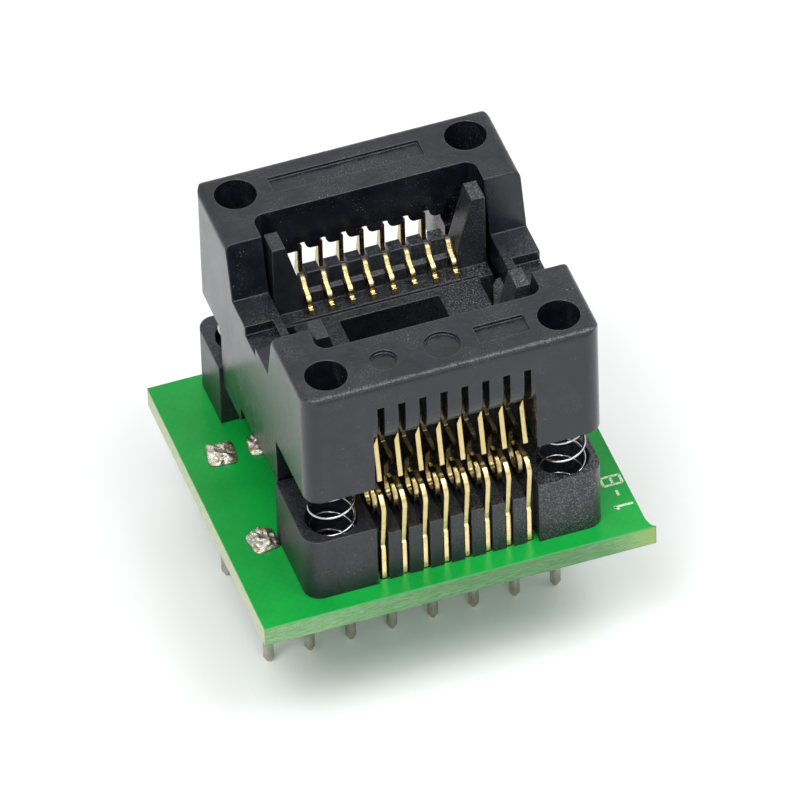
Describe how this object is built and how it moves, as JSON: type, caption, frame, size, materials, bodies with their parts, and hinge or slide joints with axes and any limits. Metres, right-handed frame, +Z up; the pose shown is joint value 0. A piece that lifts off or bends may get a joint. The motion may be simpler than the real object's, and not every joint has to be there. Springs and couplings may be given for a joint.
{
  "type": "ic programming adapter",
  "caption": "Open-top chip socket with a spring-loaded press-down cover and two rows of swinging contacts, soldered to a small circuit board with plug-in pins.",
  "frame": {"origin": "under the middle of the board, on the plane of the pin tips", "axes": "+X along the contact rows, +Y from the front contact row to the back one, +Z up through the cover"},
  "size_m": [0.024, 0.0212, 0.0255],
  "materials": {
    "board_mask": "green solder mask over glass-fibre laminate, pale cut edges",
    "housing": "black moulded plastic, satin with a fine grain",
    "carrier": "black moulded plastic, matte",
    "pin_metal": "dull tinned",
    "solder": "lumpy solder with flux tint",
    "contact_gold": "thin gold plating, bright cut edges",
    "spring_steel": "bright drawn wire"
  },
  "bodies": {
    "base": {"circuit_board": "board_mask", "socket_base": "housing", "carrier_strip_front": "carrier", "plug_pins_front": "pin_metal", "pin_solder_front": "solder", "tail_solder_front": "solder", "carrier_strip_back": "carrier", "plug_pins_back": "pin_metal", "pin_solder_back": "solder", "tail_solder_back": "solder", "return_spring_front_left": "spring_steel", "return_spring_front_right": "spring_steel", "return_spring_back_left": "spring_steel", "return_spring_back_right": "spring_steel", "contact_stem_front_1": "contact_gold", "contact_stem_front_2": "contact_gold", "contact_stem_front_3": "contact_gold", "contact_stem_front_4": "contact_gold", "contact_stem_front_5": "contact_gold", "contact_stem_front_6": "contact_gold", "contact_stem_front_7": "contact_gold", "contact_stem_front_8": "contact_gold", "contact_stem_back_1": "contact_gold", "contact_stem_back_2": "contact_gold", "contact_stem_back_3": "contact_gold", "contact_stem_back_4": "contact_gold", "contact_stem_back_5": "contact_gold", "contact_stem_back_6": "contact_gold", "contact_stem_back_7": "contact_gold", "contact_stem_back_8": "contact_gold"},
    "cover": {"socket_cover": "housing"},
    "front_arms": {"contact_arm_front_1": "contact_gold", "contact_arm_front_2": "contact_gold", "contact_arm_front_3": "contact_gold", "contact_arm_front_4": "contact_gold", "contact_arm_front_5": "contact_gold", "contact_arm_front_6": "contact_gold", "contact_arm_front_7": "contact_gold", "contact_arm_front_8": "contact_gold"},
    "back_arms": {"contact_arm_back_1": "contact_gold", "contact_arm_back_2": "contact_gold", "contact_arm_back_3": "contact_gold", "contact_arm_back_4": "contact_gold", "contact_arm_back_5": "contact_gold", "contact_arm_back_6": "contact_gold", "contact_arm_back_7": "contact_gold", "contact_arm_back_8": "contact_gold"}
  },
  "joints": [
    {"name": "cover_slide", "type": "slide", "parent": "base", "child": "cover", "axis": [0, 0, -1], "range_m": [0, 0.0025], "stiffness_N_per_m": 1200, "springref_m": -0.0025, "deforming": ["return_spring_front_left", "return_spring_front_right", "return_spring_back_left", "return_spring_back_right"]},
    {"name": "front_arms_swing", "type": "hinge", "parent": "base", "child": "front_arms", "pos_m": [0.00032, -0.00675, 0.01434], "axis": [1, 0, 0], "range_deg": [0, 7]},
    {"name": "back_arms_swing", "type": "hinge", "parent": "base", "child": "back_arms", "pos_m": [0.00032, 0.00755, 0.01434], "axis": [-1, 0, 0], "range_deg": [0, 7]}
  ],
  "couplings": [
    {"joint": "front_arms_swing", "follows": "cover_slide", "rad_per_m": 47},
    {"joint": "back_arms_swing", "follows": "cover_slide", "rad_per_m": 47}
  ]
}
